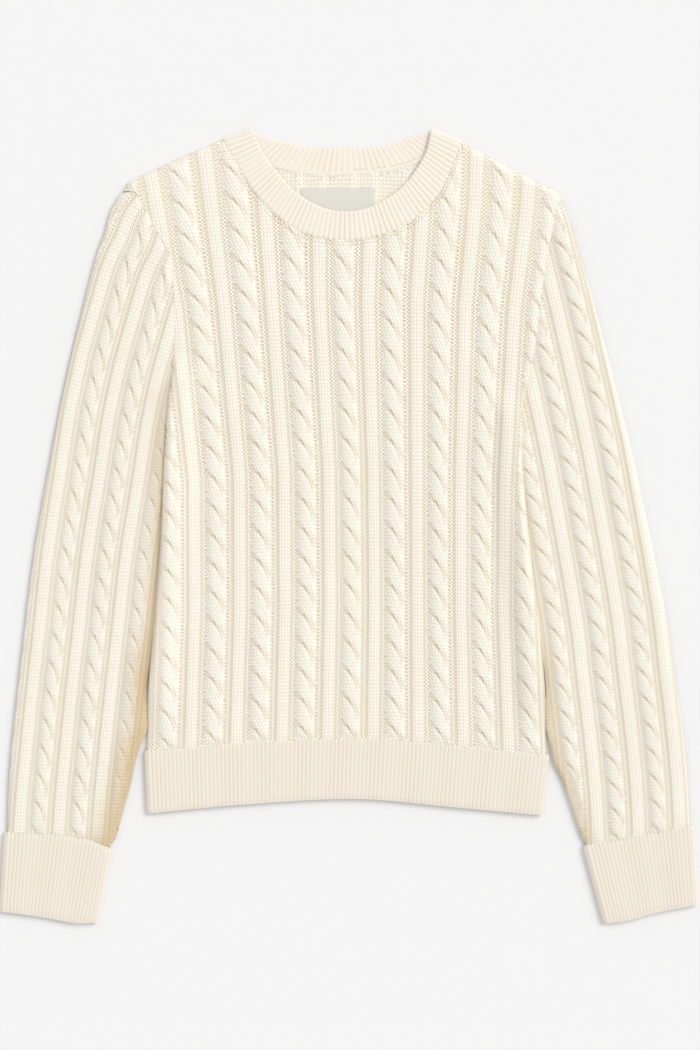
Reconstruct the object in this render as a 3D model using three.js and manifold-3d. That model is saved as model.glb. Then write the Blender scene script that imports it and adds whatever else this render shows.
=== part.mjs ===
// Cable knit sweater, laid flat and face up. Millimetres, +Z up, neck towards +Y.
// The origin is on the surface it lies on, under the middle of its outline.
// Left and right are the wearer's, so the left sleeve is at +X.
import * as THREE from "three";
import * as BufferGeometryUtils from "three/addons/utils/BufferGeometryUtils.js";
import Module from "manifold-3d";

const wasm = await Module();
wasm.setup();

// Thicknesses and heights of the layers
const seamGap = 0.4;
const backThickness = 2.6;
const frontUnderside = 3.0;
const frontWall = 2.5;
const tubeLowerWall = 2.4;
const tubeHollow = 0.6;
const tubeUpperWall = 2.4;
const tubeSide = 5;
const sideDrop = 1.2;
const mouthDrop = 0.6;
const tubeLedge = 0.3;
const hollowReach = 0.2;
const bandUnderside = 3.7;
const bandWall = 2.6;
const ribRise = 0.9;
const insideRibRise = 0.5;
const labelLift = 2.9;
const labelThickness = 0.5;
const backInset = 1.2;

// Cable crossings of the body: one about every 24 mm at the hem and 27 mm at the neck
const firstCrossing = -175.3;
const crossingPitch = 23.9;
const crossingGrowth = 0.092;
const bodyCrossings = 23;
const crossingsBelowFirst = 1.5;
const courseArch = 0.7;
const creaseSlope = 1.1;
const outerCable = 4;
const bodyMargin = 4.85;

// Sleeve cables run parallel to the sleeve's outer edge: their first crossing up that edge,
// the pitch of the crossings and its growth, and the pitch of the cables
const sleeveKnit = {
  right: { firstCrossing: 11.4, crossingPitch: 23.7, crossingGrowth: 0.086, cablePitch: 34 },
  left: { firstCrossing: 14.4, crossingPitch: 21.8, crossingGrowth: 0.134, cablePitch: 36 },
};
const sleeveCables = 4;
const sleeveWidth = 134;
const sleevePlainStep = 10;
const rolledEdge = 3.2;
const edgeDrop = 2.4;
const edgeCrown = 0.8;
const squeezed = 0.3;
const hollowRows = 10;
const leastRowGap = 4;
const seamSteps = 36;

// Rows of the plain lattice that both body panels share, and its columns: in from the edges, and mid-panel
const panelRows = [-210, -183, -171, -159, -147, -135, -60, 20, 236, 299, 350];
const panelMargin = 4;
const panelMiddle = 60;

// How the body's side edges lie over the sleeves
const overlap = 9;
const edgeRise = 6.6;
const edgeRiseFall = 0.155;
const riseWidth = 21;
const overlapEnd = -135;
const riseEnd = -183;
const riseStep = 14;
const riseTaper = 27;

// One repeat of the knit, from the middle of a cable, in parts of the cable pitch
const knitRepeat = [
  { at: -0.41, crest: 1.6, crease: 1.6 },
  { at: -0.285, crest: 0, crease: 0 },
  { at: -0.15, crest: 2.4, crease: 1.0 },
  { at: 0, crest: 3.0, crease: 1.5 },
  { at: 0.15, crest: 2.4, crease: 1.0 },
  { at: 0.285, crest: 0, crease: 0 },
  { at: 0.41, crest: 1.6, crease: 1.6 },
];
const cableHalf = 0.15;

// Where the cables of the body lie: the middle one, and the pitch on either side of it
const cableLines = [
  { y: -200, middle: -0.4, pitchRight: 39.8, pitchLeft: 39.4 },
  { y: -66, middle: 1.7, pitchRight: 39.2, pitchLeft: 37.4 },
  { y: 47, middle: 0.4, pitchRight: 38.9, pitchLeft: 38.0 },
  { y: 195, middle: -6.5, pitchRight: 41.5, pitchLeft: 42.4 },
  { y: 282, middle: -4.8, pitchRight: 46.7, pitchLeft: 45.0 },
  { y: 345, middle: -4.8, pitchRight: 50.0, pitchLeft: 46.0 },
];

// Side edges of the body, from the hem up to the shoulder tips
const bodyEdges = [
  { y: -200, right: -176.9, left: 170.1 },
  { y: -140, right: -174.1, left: 167.4 },
  { y: -95, right: -170.1, left: 163.9 },
  { y: -50, right: -166.3, left: 158.0 },
  { y: 0, right: -162.8, left: 152.7 },
  { y: 50, right: -161.1, left: 148.0 },
  { y: 100, right: -157.9, left: 148.3 },
  { y: 134, right: -154.1, left: 154.8 },
  { y: 150, right: -151.8, left: 158.9 },
  { y: 200, right: -151.8, left: 164.4 },
  { y: 236, right: -156.2, left: 170.0 },
  { y: 259, right: -170.1, left: 174.8 },
  { y: 277, right: -178.8, left: 177.2 },
  { y: 289.3, right: -185.6, left: 179.7 },
  { y: 299, right: -191.0, left: 179.7 },
];
const underarm = { right: 136, left: 105 };

// Shoulder seams, from tip to neck
const shoulders = {
  right: [[-191, 299], [-162.3, 312.8], [-130, 326.7], [-113.5, 333.6]],
  left: [[179.7, 289.3], [160.5, 298.9], [134.4, 312.8], [98.5, 332.3]],
};

// Seam and free edge of the neckband, in front and behind, from the right fold to the left one
const frontNeckSeam = [
  [-109, 332.3], [-97.9, 311.9], [-78.7, 283.2], [-46.5, 256.2], [-3.9, 247],
  [40.9, 257.1], [72.6, 283.2], [87.4, 312.5], [94.6, 331],
];
const frontNeckFree = [
  [-83.8, 340.5], [-74, 319.7], [-50, 291], [-24.8, 275.4], [1.3, 271.9],
  [26.5, 280.1], [49.2, 298], [64.5, 322], [69.4, 341],
];
const backNeckSeam = [
  [-109, 332.3], [-91.8, 322.3], [-70.9, 311.9], [-43.9, 304.9], [-8.3, 303.2],
  [32.6, 306.7], [57, 313.6], [77.9, 323.2], [94.6, 331],
];
const backNeckFree = [
  [-83.8, 340.5], [-63.1, 333.6], [-30.9, 328], [-7, 327.6], [32.6, 329.3], [49.2, 334.5], [69.4, 341],
];
const frontNeckRibs = 60;
const backNeckRibs = 38;
const foldSteps = 4;

// Hem rib
const hemTop = [[-176.4, -197], [-85, -189], [15, -185.5], [90, -191.5], [169.8, -200.3]];
const hemBottom = [[-173.8, -250.7], [-90, -243], [5, -238.3], [95, -246], [163.8, -252.3]];
const hemRibs = 98;
const hemPlainStep = 14;

// Outer edge of each sleeve from cuff to shoulder tip, the lean of the courses across it,
// and how far in from that edge its first cable runs
const sleeveOuter = {
  right: [
    { x: -298.3, y: -277.0, lean: 1.3, cable: 27 },
    { x: -295.4, y: -204.9, lean: 1.0, cable: 30 },
    { x: -282.3, y: -83.1, lean: 1.1, cable: 30 },
    { x: -274.5, y: -22.2, lean: 2.0, cable: 29 },
    { x: -264.1, y: 38.7, lean: 5.7, cable: 28 },
    { x: -252.7, y: 99.6, lean: 11.5, cable: 26 },
    { x: -241.4, y: 151.8, lean: 16.2, cable: 26 },
    { x: -222.3, y: 228.4, lean: 19, cable: 29 },
    { x: -213.6, y: 253.6, lean: 20, cable: 32 },
    { x: -206.6, y: 276.2, lean: 22, cable: 34 },
    { x: -190.5, y: 299.5, lean: 22, cable: 36 },
  ],
  left: [
    { x: 295.6, y: -272.0, lean: 10.7, cable: 28 },
    { x: 291.9, y: -204.9, lean: 10, cable: 28 },
    { x: 279.7, y: -117.9, lean: 9.5, cable: 25.5 },
    { x: 271.9, y: -65.7, lean: 9, cable: 24 },
    { x: 250.1, y: 38.7, lean: 12, cable: 20.5 },
    { x: 237.9, y: 90.9, lean: 15, cable: 18.5 },
    { x: 215.3, y: 177.9, lean: 17, cable: 15.5 },
    { x: 198.8, y: 236.2, lean: 19, cable: 13 },
    { x: 192.7, y: 257.1, lean: 20, cable: 12 },
    { x: 184.9, y: 278.0, lean: 22, cable: 11 },
    { x: 179.2, y: 289.5, lean: 22, cable: 10 },
  ],
};

// Inner edge of each sleeve where it runs clear of the body, down to the cuff
const sleeveInner = {
  right: [[-182, -190], [-186.6, -204.9], [-190.1, -222.3], [-194.4, -239.7], [-204, -273], [-210.6, -281.2]],
  left: [[173, -190], [177, -209.2], [184.9, -224.9], [190.1, -240.6], [200, -270], [204.6, -278.7]],
};

// Cuffs: opening and top edge of each, from low to high x
const cuffs = {
  right: {
    opening: [[-302.3, -336.3], [-269.3, -340.6], [-240.6, -345.8], [-222.5, -345.8]],
    top: [[-298.2, -267.8], [-262.3, -268.6], [-228.8, -273.0], [-210.4, -281.6]],
  },
  left: {
    opening: [[222.7, -346.3], [242.3, -343.6], [265.8, -337.1], [299.0, -330.6]],
    top: [[204.8, -279.2], [224, -275.1], [265.8, -267.2], [294.9, -261.9]],
  },
};
const cuffRibs = 26;
const cuffPlainStep = 13;

// Blank label inside the back of the neck
const labelBox = { left: 20.5, right: -43, top: 292, bottom: 262 };

const wool = { body: 0xf1eedf, rib: 0xefe9d8, band: 0xf6efe0, label: 0xddd8c8 };
const woolRoughness = 0.92;

// Height above every solid, depth below them and distance beyond them, for cutting blocks
const above = 60;
const below = -20;
const beyond = 400;
const weldDistance = 0.01;

// Middle of the outline in the coordinates of the tables above
const outlineMiddle = { x: -1.65, y: -1.2 };

const garment = new THREE.Group();
garment.position.set(-outlineMiddle.x, -outlineMiddle.y, 0);

const mix = THREE.MathUtils.lerp;
const signOf = (side) => (side === "left" ? 1 : -1);

// Value of one column of a table at a height y, in straight lines between its rows
function read(table, y, column) {
  if (y <= table[0].y) return table[0][column];
  for (let i = 1; i < table.length; i += 1) {
    const low = table[i - 1];
    const high = table[i];
    if (y <= high.y) return mix(low[column], high[column], (y - low.y) / (high.y - low.y));
  }
  return table[table.length - 1][column];
}

// Eased step from 0 at `from` to 1 at `to`
function ease(value, from, to) {
  const t = THREE.MathUtils.clamp((value - from) / (to - from), 0, 1);
  return t * t * (3 - 2 * t);
}

function curve(points) {
  return new THREE.SplineCurve(points.map(([x, y]) => new THREE.Vector2(x, y)));
}

function addMesh(name, geometry, color) {
  geometry.computeVertexNormals();
  const material = new THREE.MeshStandardMaterial({ color, roughness: woolRoughness, metalness: 0 });
  const mesh = new THREE.Mesh(geometry, material);
  mesh.name = name;
  garment.add(mesh);
}

function geometryOf(vertices, triangles) {
  const geometry = new THREE.BufferGeometry();
  geometry.setAttribute("position", new THREE.Float32BufferAttribute(vertices, 3));
  geometry.setIndex(triangles);
  return geometry;
}

function solidOf(geometry) {
  return new wasm.Manifold(new wasm.Mesh({
    numProp: 3,
    vertProperties: new Float32Array(geometry.attributes.position.array),
    triVerts: new Uint32Array(geometry.index.array),
  }));
}

// Mesh of a cut solid, with corners closer than the weld distance made one
function addSolid(name, solid, color) {
  const mesh = solid.getMesh();
  const cut = geometryOf(Array.from(mesh.vertProperties), Array.from(mesh.triVerts));
  const welded = BufferGeometryUtils.mergeVertices(cut, weldDistance);
  const corners = welded.index.array;
  const kept = [];
  for (let t = 0; t < corners.length; t += 3) {
    const [a, b, c] = corners.slice(t, t + 3);
    if (a !== b && b !== c && c !== a) kept.push(a, b, c);
  }
  welded.setIndex(kept);
  addMesh(name, welded, color);
}

// Closed block over a lattice of plan points, between a lower and an upper surface.
// Rows run from low to high y and their points from low to high x.
// The lower surface keeps only every `step`-th point of a row, and so does a ledge round the walls.
function block(rows, bottomOf, topOf, step = 1, ledge = null) {
  const across = rows[0].length;
  const far = rows.length - 1;
  const kept = [];
  for (let c = 0; c < across - 1; c += step) kept.push(c);
  kept.push(across - 1);
  const lastKept = kept.length - 1;
  const levels = ledge === null ? [bottomOf] : [() => ledge, bottomOf];
  const vertices = [];
  rows.forEach((row, r) => row.forEach(([x, y], c) => vertices.push(x, y, topOf(x, y, r, c))));
  for (const level of levels) {
    for (const row of rows) {
      for (const c of kept) vertices.push(row[c][0], row[c][1], level(row[c][0], row[c][1]));
    }
  }
  const topAt = (r, c) => r * across + c;
  const levelAt = (l, r, k) => rows.length * (across + l * kept.length) + r * kept.length + k;
  const triangles = [];
  const quad = (a, b, c, d) => triangles.push(a, b, c, a, c, d);
  const lowest = levels.length - 1;
  for (let r = 0; r < far; r += 1) {
    for (let c = 0; c + 1 < across; c += 1) {
      quad(topAt(r, c), topAt(r, c + 1), topAt(r + 1, c + 1), topAt(r + 1, c));
    }
    for (let k = 0; k < lastKept; k += 1) {
      const [near, next] = [levelAt(lowest, r, k), levelAt(lowest, r + 1, k)];
      quad(near, next, next + 1, near + 1);
    }
    quad(levelAt(0, r, 0), topAt(r, 0), topAt(r + 1, 0), levelAt(0, r + 1, 0));
    const end = across - 1;
    quad(levelAt(0, r, lastKept), levelAt(0, r + 1, lastKept), topAt(r + 1, end), topAt(r, end));
    if (ledge !== null) {
      quad(levelAt(1, r, 0), levelAt(0, r, 0), levelAt(0, r + 1, 0), levelAt(1, r + 1, 0));
      const [lower, upper] = [levelAt(1, r, lastKept), levelAt(0, r, lastKept)];
      quad(lower, lower + kept.length, upper + kept.length, upper);
    }
  }
  for (let k = 0; k < lastKept; k += 1) {
    for (let c = kept[k]; c < kept[k + 1]; c += 1) {
      triangles.push(levelAt(0, 0, k), topAt(0, c + 1), topAt(0, c));
      triangles.push(levelAt(0, far, k), topAt(far, c), topAt(far, c + 1));
    }
    triangles.push(levelAt(0, 0, k), levelAt(0, 0, k + 1), topAt(0, kept[k + 1]));
    triangles.push(levelAt(0, far, k + 1), levelAt(0, far, k), topAt(far, kept[k + 1]));
    if (ledge !== null) {
      quad(levelAt(1, 0, k), levelAt(1, 0, k + 1), levelAt(0, 0, k + 1), levelAt(0, 0, k));
      quad(levelAt(1, far, k), levelAt(0, far, k), levelAt(0, far, k + 1), levelAt(1, far, k + 1));
    }
  }
  return solidOf(geometryOf(vertices, triangles));
}

// Upright prism over a plan outline
function prism(outline) {
  const shape = new THREE.Shape(outline.map(([x, y]) => new THREE.Vector2(x, y)));
  const extruded = new THREE.ExtrudeGeometry(shape, { depth: above - below, bevelEnabled: false });
  extruded.translate(0, 0, below);
  extruded.deleteAttribute("normal");
  extruded.deleteAttribute("uv");
  return solidOf(BufferGeometryUtils.mergeVertices(extruded));
}

// Points of a smooth curve, moved sideways by a distance to its left
function offsetCurve(points, distance, steps) {
  const line = curve(points);
  const moved = [];
  for (let i = 0; i <= steps; i += 1) {
    const point = line.getPointAt(i / steps);
    const along = line.getTangentAt(i / steps);
    moved.push([point.x - along.y * distance, point.y + along.x * distance]);
  }
  return moved;
}

// How far the body's side edge overlaps the sleeve at a height; negative is a gap beside it
function overlapAt(side, y) {
  const start = underarm[side] - riseStep;
  const top = ease(y, start, start - riseTaper);
  const bottom = ease(y, overlapEnd, overlapEnd + riseTaper * 2);
  return mix(-seamGap, overlap, Math.min(top, bottom));
}

// Rise of the body where its side edges lie over the sleeves
function riseAt(x, y) {
  const side = x < 0 ? "right" : "left";
  const fromEdge = Math.max((read(bodyEdges, y, side) - x) * signOf(side), 0);
  const top = ease(y, underarm[side] + riseStep, underarm[side] - riseStep);
  const bottom = ease(y, riseEnd, overlapEnd);
  const full = edgeRise - edgeRiseFall * Math.min(fromEdge, overlap);
  return full * (1 - ease(fromEdge, overlap, overlap + riseWidth)) * Math.min(top, bottom);
}

// Height of the knit relief at a point of the repeat; crest is 1 on a crest and 0 in a crease
function reliefAt(feature, crest) {
  return mix(feature.crease, feature.crest, crest);
}

// Slant of the courses: down along a cable's crease, and back up through the gutters and plain stitches
function slantAt(at) {
  if (Math.abs(at) <= cableHalf) return -creaseSlope * at;
  const back = (creaseSlope * cableHalf) / (0.5 - cableHalf);
  return -Math.sign(at) * back * (0.5 - Math.abs(at));
}

// Plain lattice that both panels of the body share
function bodyLattice() {
  const marks = [...panelRows];
  for (const side of ["right", "left"]) {
    for (const step of [-1, -0.5, 0, 0.5, 1]) marks.push(underarm[side] + step * riseStep);
  }
  marks.sort((a, b) => a - b);
  const inFromEdge = [-panelMargin, 0];
  for (let third = 0; third <= 3; third += 1) inFromEdge.push(overlap + (third * riseWidth) / 3);
  return marks.map((y) => {
    const right = read(bodyEdges, y, "right");
    const left = read(bodyEdges, y, "left");
    const row = inFromEdge.map((d) => [right + d, y]);
    row.push([-panelMiddle, y], [panelMiddle, y]);
    for (const d of [...inFromEdge].reverse()) row.push([left - d, y]);
    return row;
  });
}

// Outline of a body panel, moved in from the side edges and shoulders
function panelOutline(inset, neck) {
  const hem = offsetCurve(hemTop, seamGap, seamSteps);
  const rightEdge = bodyEdges.map((row) => [row.right + inset, row.y]);
  const leftEdge = bodyEdges.map((row) => [row.left - inset, row.y]);
  const shoulder = (points) => points.map(([x, y]) => [x - Math.sign(x) * inset, y - inset]);
  const between = (edge, tip) => edge.filter(([, y]) => y > riseEnd && y < tip[1]);
  return [
    ...hem.map(([x, y]) => [x - Math.sign(x) * inset, y]),
    ...between(leftEdge, shoulders.left[0]),
    ...shoulder(shoulders.left),
    ...neck.reverse(),
    ...shoulder(shoulders.right).reverse(),
    ...between(rightEdge, shoulders.right[0]).reverse(),
  ];
}

function backPanel() {
  const neck = offsetCurve(backNeckSeam, -seamGap, seamSteps).slice(1, -1);
  return block(bodyLattice(), riseAt, (x, y) => riseAt(x, y) + backThickness)
    .intersect(prism(panelOutline(backInset, neck)));
}

// Columns of the front: the features of every repeat, and a margin column at each side
function frontColumns() {
  const plain = knitRepeat[0];
  const columns = [{ ...plain, s: -bodyMargin, at: -0.5 }];
  for (let cable = -outerCable; cable <= outerCable; cable += 1) {
    for (const feature of knitRepeat) columns.push({ s: cable + feature.at, ...feature });
  }
  columns.push({ ...plain, s: bodyMargin, at: 0.5 });
  return columns;
}

function frontPanel() {
  const columns = frontColumns();
  const rows = [];
  for (let n = -crossingsBelowFirst; n <= bodyCrossings; n += 0.5) {
    const middle = firstCrossing + crossingPitch * n + crossingGrowth * n * n;
    rows.push(columns.map(({ s, at }) => {
      const pitch = read(cableLines, middle, s < 0 ? "pitchRight" : "pitchLeft");
      const x = read(cableLines, middle, "middle") + s * pitch;
      return [x, middle - courseArch * s * s + slantAt(at) * pitch];
    }));
  }
  const topOf = (x, y, r, c) => {
    const crest = r % 2 === 0 ? 1 : 0;
    return riseAt(x, y) + frontUnderside + frontWall + reliefAt(columns[c], crest);
  };
  const relief = block(rows, () => below, topOf, columns.length);
  const inside = block(bodyLattice(), (x, y) => riseAt(x, y) + frontUnderside, () => above);
  const neck = offsetCurve(frontNeckSeam, -seamGap, seamSteps).slice(1, -1);
  return relief.intersect(inside).intersect(prism(panelOutline(0, neck)));
}

// Flattened rib tube between two edge curves: ribs on top, a flat underside, and a hollow right through
function ribTube(lowerEdge, upperEdge, ribs, plainStep, edgeFractions) {
  const low = curve(lowerEdge);
  const high = curve(upperEdge);
  const columns = ribs * 2;
  const lattice = (fractions, count, from, to) => fractions.map((f) => {
    const row = [];
    for (let c = 0; c <= count; c += 1) {
      const t = mix(from, to, c / count);
      const a = low.getPointAt(t);
      const b = high.getPointAt(t);
      row.push([mix(a.x, b.x, f), mix(a.y, b.y, f)]);
    }
    return row;
  });
  const plain = columns / plainStep;
  const roof = tubeLowerWall + tubeHollow;
  const top = roof + tubeUpperWall;
  const width = low.getLength();
  const outer = block(lattice(edgeFractions, columns, 0, 1), () => 0, (x, y, r, c) => {
    const fromSide = Math.min(c, columns - c) / columns * width;
    const side = Math.max(1 - fromSide / tubeSide, 0);
    const drop = side * side * sideDrop + (r === 0 ? mouthDrop : 0);
    return top - drop + (c % 2 === 1 ? ribRise : 0);
  }, plainStep, roof + tubeLedge);
  const inset = tubeSide / width;
  const through = [-hollowReach, 1 + hollowReach];
  const hollow = block(lattice(through, plain + 1, inset, 1 - inset), () => tubeLowerWall, () => roof);
  return outer.subtract(hollow);
}

// Outline that trims a sleeve along the armhole and its inner edge
function sleeveOutline(side, inset) {
  const sign = signOf(side);
  const outline = [[sign * beyond, -beyond], [sign * beyond, beyond]];
  const tip = bodyEdges[bodyEdges.length - 1];
  outline.push([tip[side] + sign * seamGap, beyond]);
  const heights = bodyEdges.map(({ y }) => y).filter((y) => y > riseEnd);
  for (let step = 0; step <= 4; step += 1) {
    heights.push(underarm[side] - riseStep - (riseTaper * step) / 4);
    heights.push(overlapEnd + (riseTaper * step) / 2);
  }
  heights.sort((a, b) => b - a);
  for (const y of heights) {
    const moved = y < underarm[side] ? inset : -Math.sign(inset) * tubeSide;
    outline.push([read(bodyEdges, y, side) + sign * (moved - overlapAt(side, y)), y]);
  }
  for (const [x, y] of sleeveInner[side]) outline.push([x + sign * inset, y]);
  if (inset > 0) {
    outline.push([sleeveInner[side][sleeveInner[side].length - 1][0] + sign * inset, -beyond]);
    return outline;
  }
  const end = offsetCurve(cuffs[side].top, seamGap, cuffRibs);
  if (side === "right") end.reverse();
  outline.push(...end.slice(1), [sign * beyond, end[end.length - 1][1]]);
  return outline.slice(1);
}

// Places up a sleeve's outer edge where its rows lie: both ends, and each crease and crest between
function sleeveRows(side, length) {
  const { firstCrossing, crossingPitch, crossingGrowth } = sleeveKnit[side];
  const rows = [{ place: 0, crest: 0.5 }];
  for (let half = 0; ; half += 1) {
    const n = half / 2;
    const place = firstCrossing + crossingPitch * n + crossingGrowth * n * n;
    if (place > length - leastRowGap) break;
    rows.push({ place, crest: half % 2 });
  }
  rows.push({ place: length, crest: 0.5 });
  return rows;
}

function sleeve(side) {
  const sign = signOf(side);
  const table = sleeveOuter[side];
  const { cablePitch } = sleeveKnit[side];
  const outerLine = curve(table.map(({ x, y }) => [x, y]));
  const length = outerLine.getLength();
  const columns = [
    { crest: -edgeDrop, crease: -edgeDrop, edge: 0 },
    { crest: edgeCrown, crease: edgeCrown, edge: rolledEdge },
  ];
  for (let cable = 0; cable < sleeveCables; cable += 1) {
    for (const feature of knitRepeat) columns.push({ repeat: cable, ...feature });
  }
  const lattice = (spots, places) => places.map((place) => {
    const point = outerLine.getPointAt(Math.max(place, 0) / length);
    point.y += Math.min(place, 0);
    const lean = THREE.MathUtils.degToRad(read(table, point.y, "lean"));
    const first = read(table, point.y, "cable");
    const row = spots.map(({ repeat, at, edge }, c) => {
      const inward = edge ?? Math.max(first + (repeat + at) * cablePitch, rolledEdge + squeezed * c);
      const slant = edge === undefined ? slantAt(at) * cablePitch : 0;
      return [
        point.x - sign * inward * Math.cos(lean),
        point.y - inward * Math.sin(lean) - sign * slant,
      ];
    });
    return side === "left" ? row.reverse() : row;
  });
  const last = columns.length - 1;
  const wallTop = tubeLowerWall + tubeHollow + tubeUpperWall;
  const edgeOf = (x, y) => {
    const lowest = sleeveInner[side].map(([ex, ey]) => ({ y: ey, x: ex })).reverse();
    const edge = y < sleeveInner[side][0][1]
      ? read(lowest, y, "x")
      : read(bodyEdges, y, side) - sign * overlapAt(side, y);
    return (x - edge) * sign;
  };
  const rows = sleeveRows(side, length);
  const topOf = (x, y, r, c) => {
    const feature = columns[side === "left" ? last - c : c];
    const inner = y < underarm[side] ? ease(edgeOf(x, y), overlap, overlap * 2) : 1;
    const tuck = y < underarm[side] ? 1 - ease(edgeOf(x, y), 0, overlap * 1.4) : 0;
    return wallTop + reliefAt(feature, rows[r].crest) * inner - tuck;
  };
  const outer = block(lattice(columns, rows.map(({ place }) => place)), () => 0, topOf, sleevePlainStep);
  const hollowSpots = [{ edge: tubeSide }, { edge: sleeveWidth / 2 }, { edge: sleeveWidth }];
  const hollowPlaces = [-tubeSide * 2];
  for (let i = 1; i <= hollowRows; i += 1) hollowPlaces.push((length * i) / hollowRows);
  const hollow = block(
    lattice(hollowSpots, hollowPlaces),
    () => tubeLowerWall,
    () => tubeLowerWall + tubeHollow,
  );
  return outer.intersect(prism(sleeveOutline(side, 0)))
    .subtract(hollow.intersect(prism(sleeveOutline(side, tubeSide))));
}

// Neckband: one closed ring of sections that runs along the front, turns under at a fold,
// and comes back behind; each section goes from the seam to the free edge
function neckband() {
  const sections = [];
  const foldMiddle = (backThickness + bandUnderside) / 2;
  const innerRadius = bandUnderside - foldMiddle;
  const outerRadius = innerRadius + bandWall;
  const addHalf = (seamPoints, freePoints, ribs, forwards, outerZ, innerZ, ribOn) => {
    const seam = curve(seamPoints);
    const free = curve(freePoints);
    const steps = ribs * 2;
    for (let i = 0; i <= steps; i += 1) {
      const t = forwards ? i / steps : 1 - i / steps;
      const rib = i % 2;
      sections.push({
        seam: seam.getPointAt(t),
        free: free.getPointAt(t),
        outer: outerZ + (ribOn === "outer" ? rib * ribRise : 0),
        inner: innerZ + (ribOn === "inner" ? rib * insideRibRise : 0),
        outerShift: new THREE.Vector2(),
        innerShift: new THREE.Vector2(),
      });
    }
  };
  const addFold = (seamPoint, freePoint, sign) => {
    const seam = new THREE.Vector2(...seamPoint);
    const free = new THREE.Vector2(...freePoint);
    const along = free.clone().sub(seam).normalize();
    const away = new THREE.Vector2(-along.y * sign, along.x * sign);
    for (let i = 1; i < foldSteps; i += 1) {
      const turn = (Math.PI * i) / foldSteps;
      const swing = sign > 0 ? Math.PI - turn : turn;
      sections.push({
        seam,
        free,
        outer: foldMiddle + outerRadius * Math.cos(swing),
        inner: foldMiddle + innerRadius * Math.cos(swing),
        outerShift: away.clone().multiplyScalar(outerRadius * Math.sin(swing)),
        innerShift: away.clone().multiplyScalar(innerRadius * Math.sin(swing)),
      });
    }
  };
  const bandTop = bandUnderside + bandWall;
  addHalf(frontNeckSeam, frontNeckFree, frontNeckRibs, true, bandTop, bandUnderside, "outer");
  addFold(frontNeckSeam[frontNeckSeam.length - 1], frontNeckFree[frontNeckFree.length - 1], -1);
  addHalf(backNeckSeam, backNeckFree, backNeckRibs, false, 0, backThickness, "inner");
  addFold(frontNeckSeam[0], frontNeckFree[0], 1);
  const vertices = [];
  const triangles = [];
  for (const { seam, free, outer, inner, outerShift, innerShift } of sections) {
    vertices.push(seam.x + outerShift.x, seam.y + outerShift.y, outer);
    vertices.push(free.x + outerShift.x, free.y + outerShift.y, outer);
    vertices.push(free.x + innerShift.x, free.y + innerShift.y, inner);
    vertices.push(seam.x + innerShift.x, seam.y + innerShift.y, inner);
  }
  const corners = 4;
  sections.forEach((section, i) => {
    const here = i * corners;
    const next = ((i + 1) % sections.length) * corners;
    for (let k = 0; k < corners; k += 1) {
      const after = (k + 1) % corners;
      triangles.push(here + k, next + k, next + after, here + k, next + after, here + after);
    }
  });
  return geometryOf(vertices, triangles);
}

function label() {
  const { left, right, top, bottom } = labelBox;
  const rows = [bottom, top].map((y) => [[right, y], [left, y]]);
  return block(rows, () => labelLift, () => labelLift + labelThickness);
}

const edgeRows = [0, 0.06, 1];
const cuff = (side) => ribTube(cuffs[side].opening, cuffs[side].top, cuffRibs, cuffPlainStep, edgeRows);
addSolid("front_panel", frontPanel(), wool.body);
addSolid("back_panel", backPanel(), wool.body);
addSolid("sleeve_left", sleeve("left"), wool.body);
addSolid("sleeve_right", sleeve("right"), wool.body);
addSolid("hem_rib", ribTube(hemBottom, hemTop, hemRibs, hemPlainStep, edgeRows), wool.rib);
addSolid("cuff_left", cuff("left"), wool.rib);
addSolid("cuff_right", cuff("right"), wool.rib);
addMesh("neckband", neckband(), wool.band);
addSolid("neck_label", label(), wool.label);

export default garment;
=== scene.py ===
"""Looks of a cable knit sweater laid flat and face up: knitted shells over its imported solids.

Lengths are in millimetres in the tables and in metres in Blender, +Z up, neck towards +Y.
Right and left are the wearer's, so the left sleeve is at +X.
"""
import math

import bpy
import numpy as np
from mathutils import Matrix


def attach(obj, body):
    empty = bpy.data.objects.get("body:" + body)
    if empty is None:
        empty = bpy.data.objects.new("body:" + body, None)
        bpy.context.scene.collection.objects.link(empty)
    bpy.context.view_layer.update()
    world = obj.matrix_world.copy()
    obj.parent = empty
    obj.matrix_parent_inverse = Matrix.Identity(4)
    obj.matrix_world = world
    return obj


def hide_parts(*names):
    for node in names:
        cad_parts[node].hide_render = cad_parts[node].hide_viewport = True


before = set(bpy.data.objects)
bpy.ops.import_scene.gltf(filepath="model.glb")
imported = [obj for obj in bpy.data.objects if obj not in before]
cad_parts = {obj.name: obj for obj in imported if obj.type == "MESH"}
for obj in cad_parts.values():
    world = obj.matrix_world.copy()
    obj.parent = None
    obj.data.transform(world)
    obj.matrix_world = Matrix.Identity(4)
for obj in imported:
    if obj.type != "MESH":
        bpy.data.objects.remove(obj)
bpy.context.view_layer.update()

METRE = 0.001
SIDES = ("right", "left")


def table(names, *rows):
    """Rows of a table under the names of its columns."""
    return [dict(zip(names.split(), row)) for row in rows]


# Where the middle of the tables lies in the frame
ORIGIN = (1.65, 1.2)

# Levels of the layers, walls and gaps
BACK_TOP = 2.6
FRONT_UNDERSIDE = 3.0
FRONT_WALL = 2.5
TUBE_TOP = 5.4
TUBE_MIDDLE = 2.7
BAND_UNDERSIDE = 3.7
BAND_WALL = 2.6
SEAM_GAP = 0.4
EDGE_LIP = 0.5
HOLLOW = 0.6
HOLLOW_INSET = 5

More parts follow.
